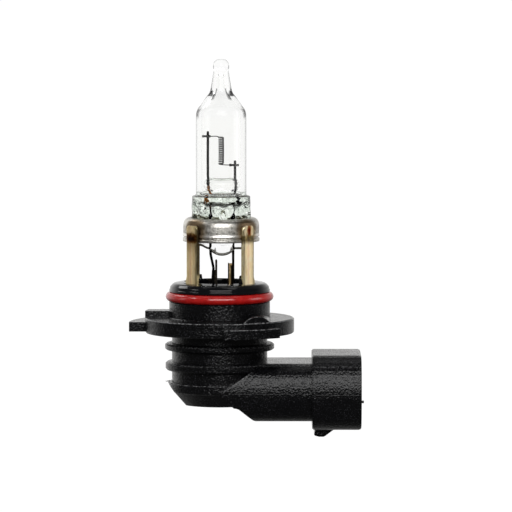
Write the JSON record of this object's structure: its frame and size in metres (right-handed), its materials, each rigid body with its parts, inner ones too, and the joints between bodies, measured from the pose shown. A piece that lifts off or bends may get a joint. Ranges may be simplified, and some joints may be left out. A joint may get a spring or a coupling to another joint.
{
  "type": "headlight bulb",
  "caption": "Right-angle-cap halogen headlight bulb with an axial filament, steel collar on legs, red sealing ring, lug flange and oval plug socket.",
  "frame": {"origin": "on the cap's axis, in the plane of the flange's upper face, which is the reference plane the light centre is measured from", "axes": "+Z along the cap's axis towards the glass tip, +X along the plug socket towards its mouth, +Y completes the right-handed frame"},
  "size_m": [0.0441, 0.0332, 0.0711],
  "materials": {
    "clear_glass": "clear, polished",
    "bridge_glass": "clear",
    "tungsten": "satin, drawn wire",
    "molybdenum": "dark oxidised wire",
    "clamp_metal": "dark, crimped",
    "collar_steel": "satin, drawn, with fine grain",
    "clip_steel": "satin",
    "leg_plated_steel": "yellowish plating, heat-tinted at the welds",
    "gloss_black_plastic": "glossy black",
    "potting_resin": "matt black resin",
    "red_rubber": "satin red",
    "textured_black_plastic": "moulded, finely textured",
    "terminal_dark": "dull tinned brass",
    "terminal_brass": "bare brass"
  },
  "bodies": {
    "root": {"glass_envelope": "clear_glass", "glass_bridge": "bridge_glass", "filament": "tungsten", "long_lead_wire": "molybdenum", "short_lead_wire": "molybdenum", "upper_filament_clamp": "clamp_metal", "lower_filament_clamp": "clamp_metal", "retaining_collar": "collar_steel", "pinch_clip": "clip_steel", "support_leg_front_left": "leg_plated_steel", "support_leg_front_right": "leg_plated_steel", "support_leg_rear_left": "leg_plated_steel", "support_leg_rear_right": "leg_plated_steel", "cap_insert": "gloss_black_plastic", "potting_seal": "potting_resin", "o_ring": "red_rubber", "base_housing": "textured_black_plastic", "terminal_left": "terminal_dark", "terminal_right": "terminal_brass"}
  },
  "joints": []
}
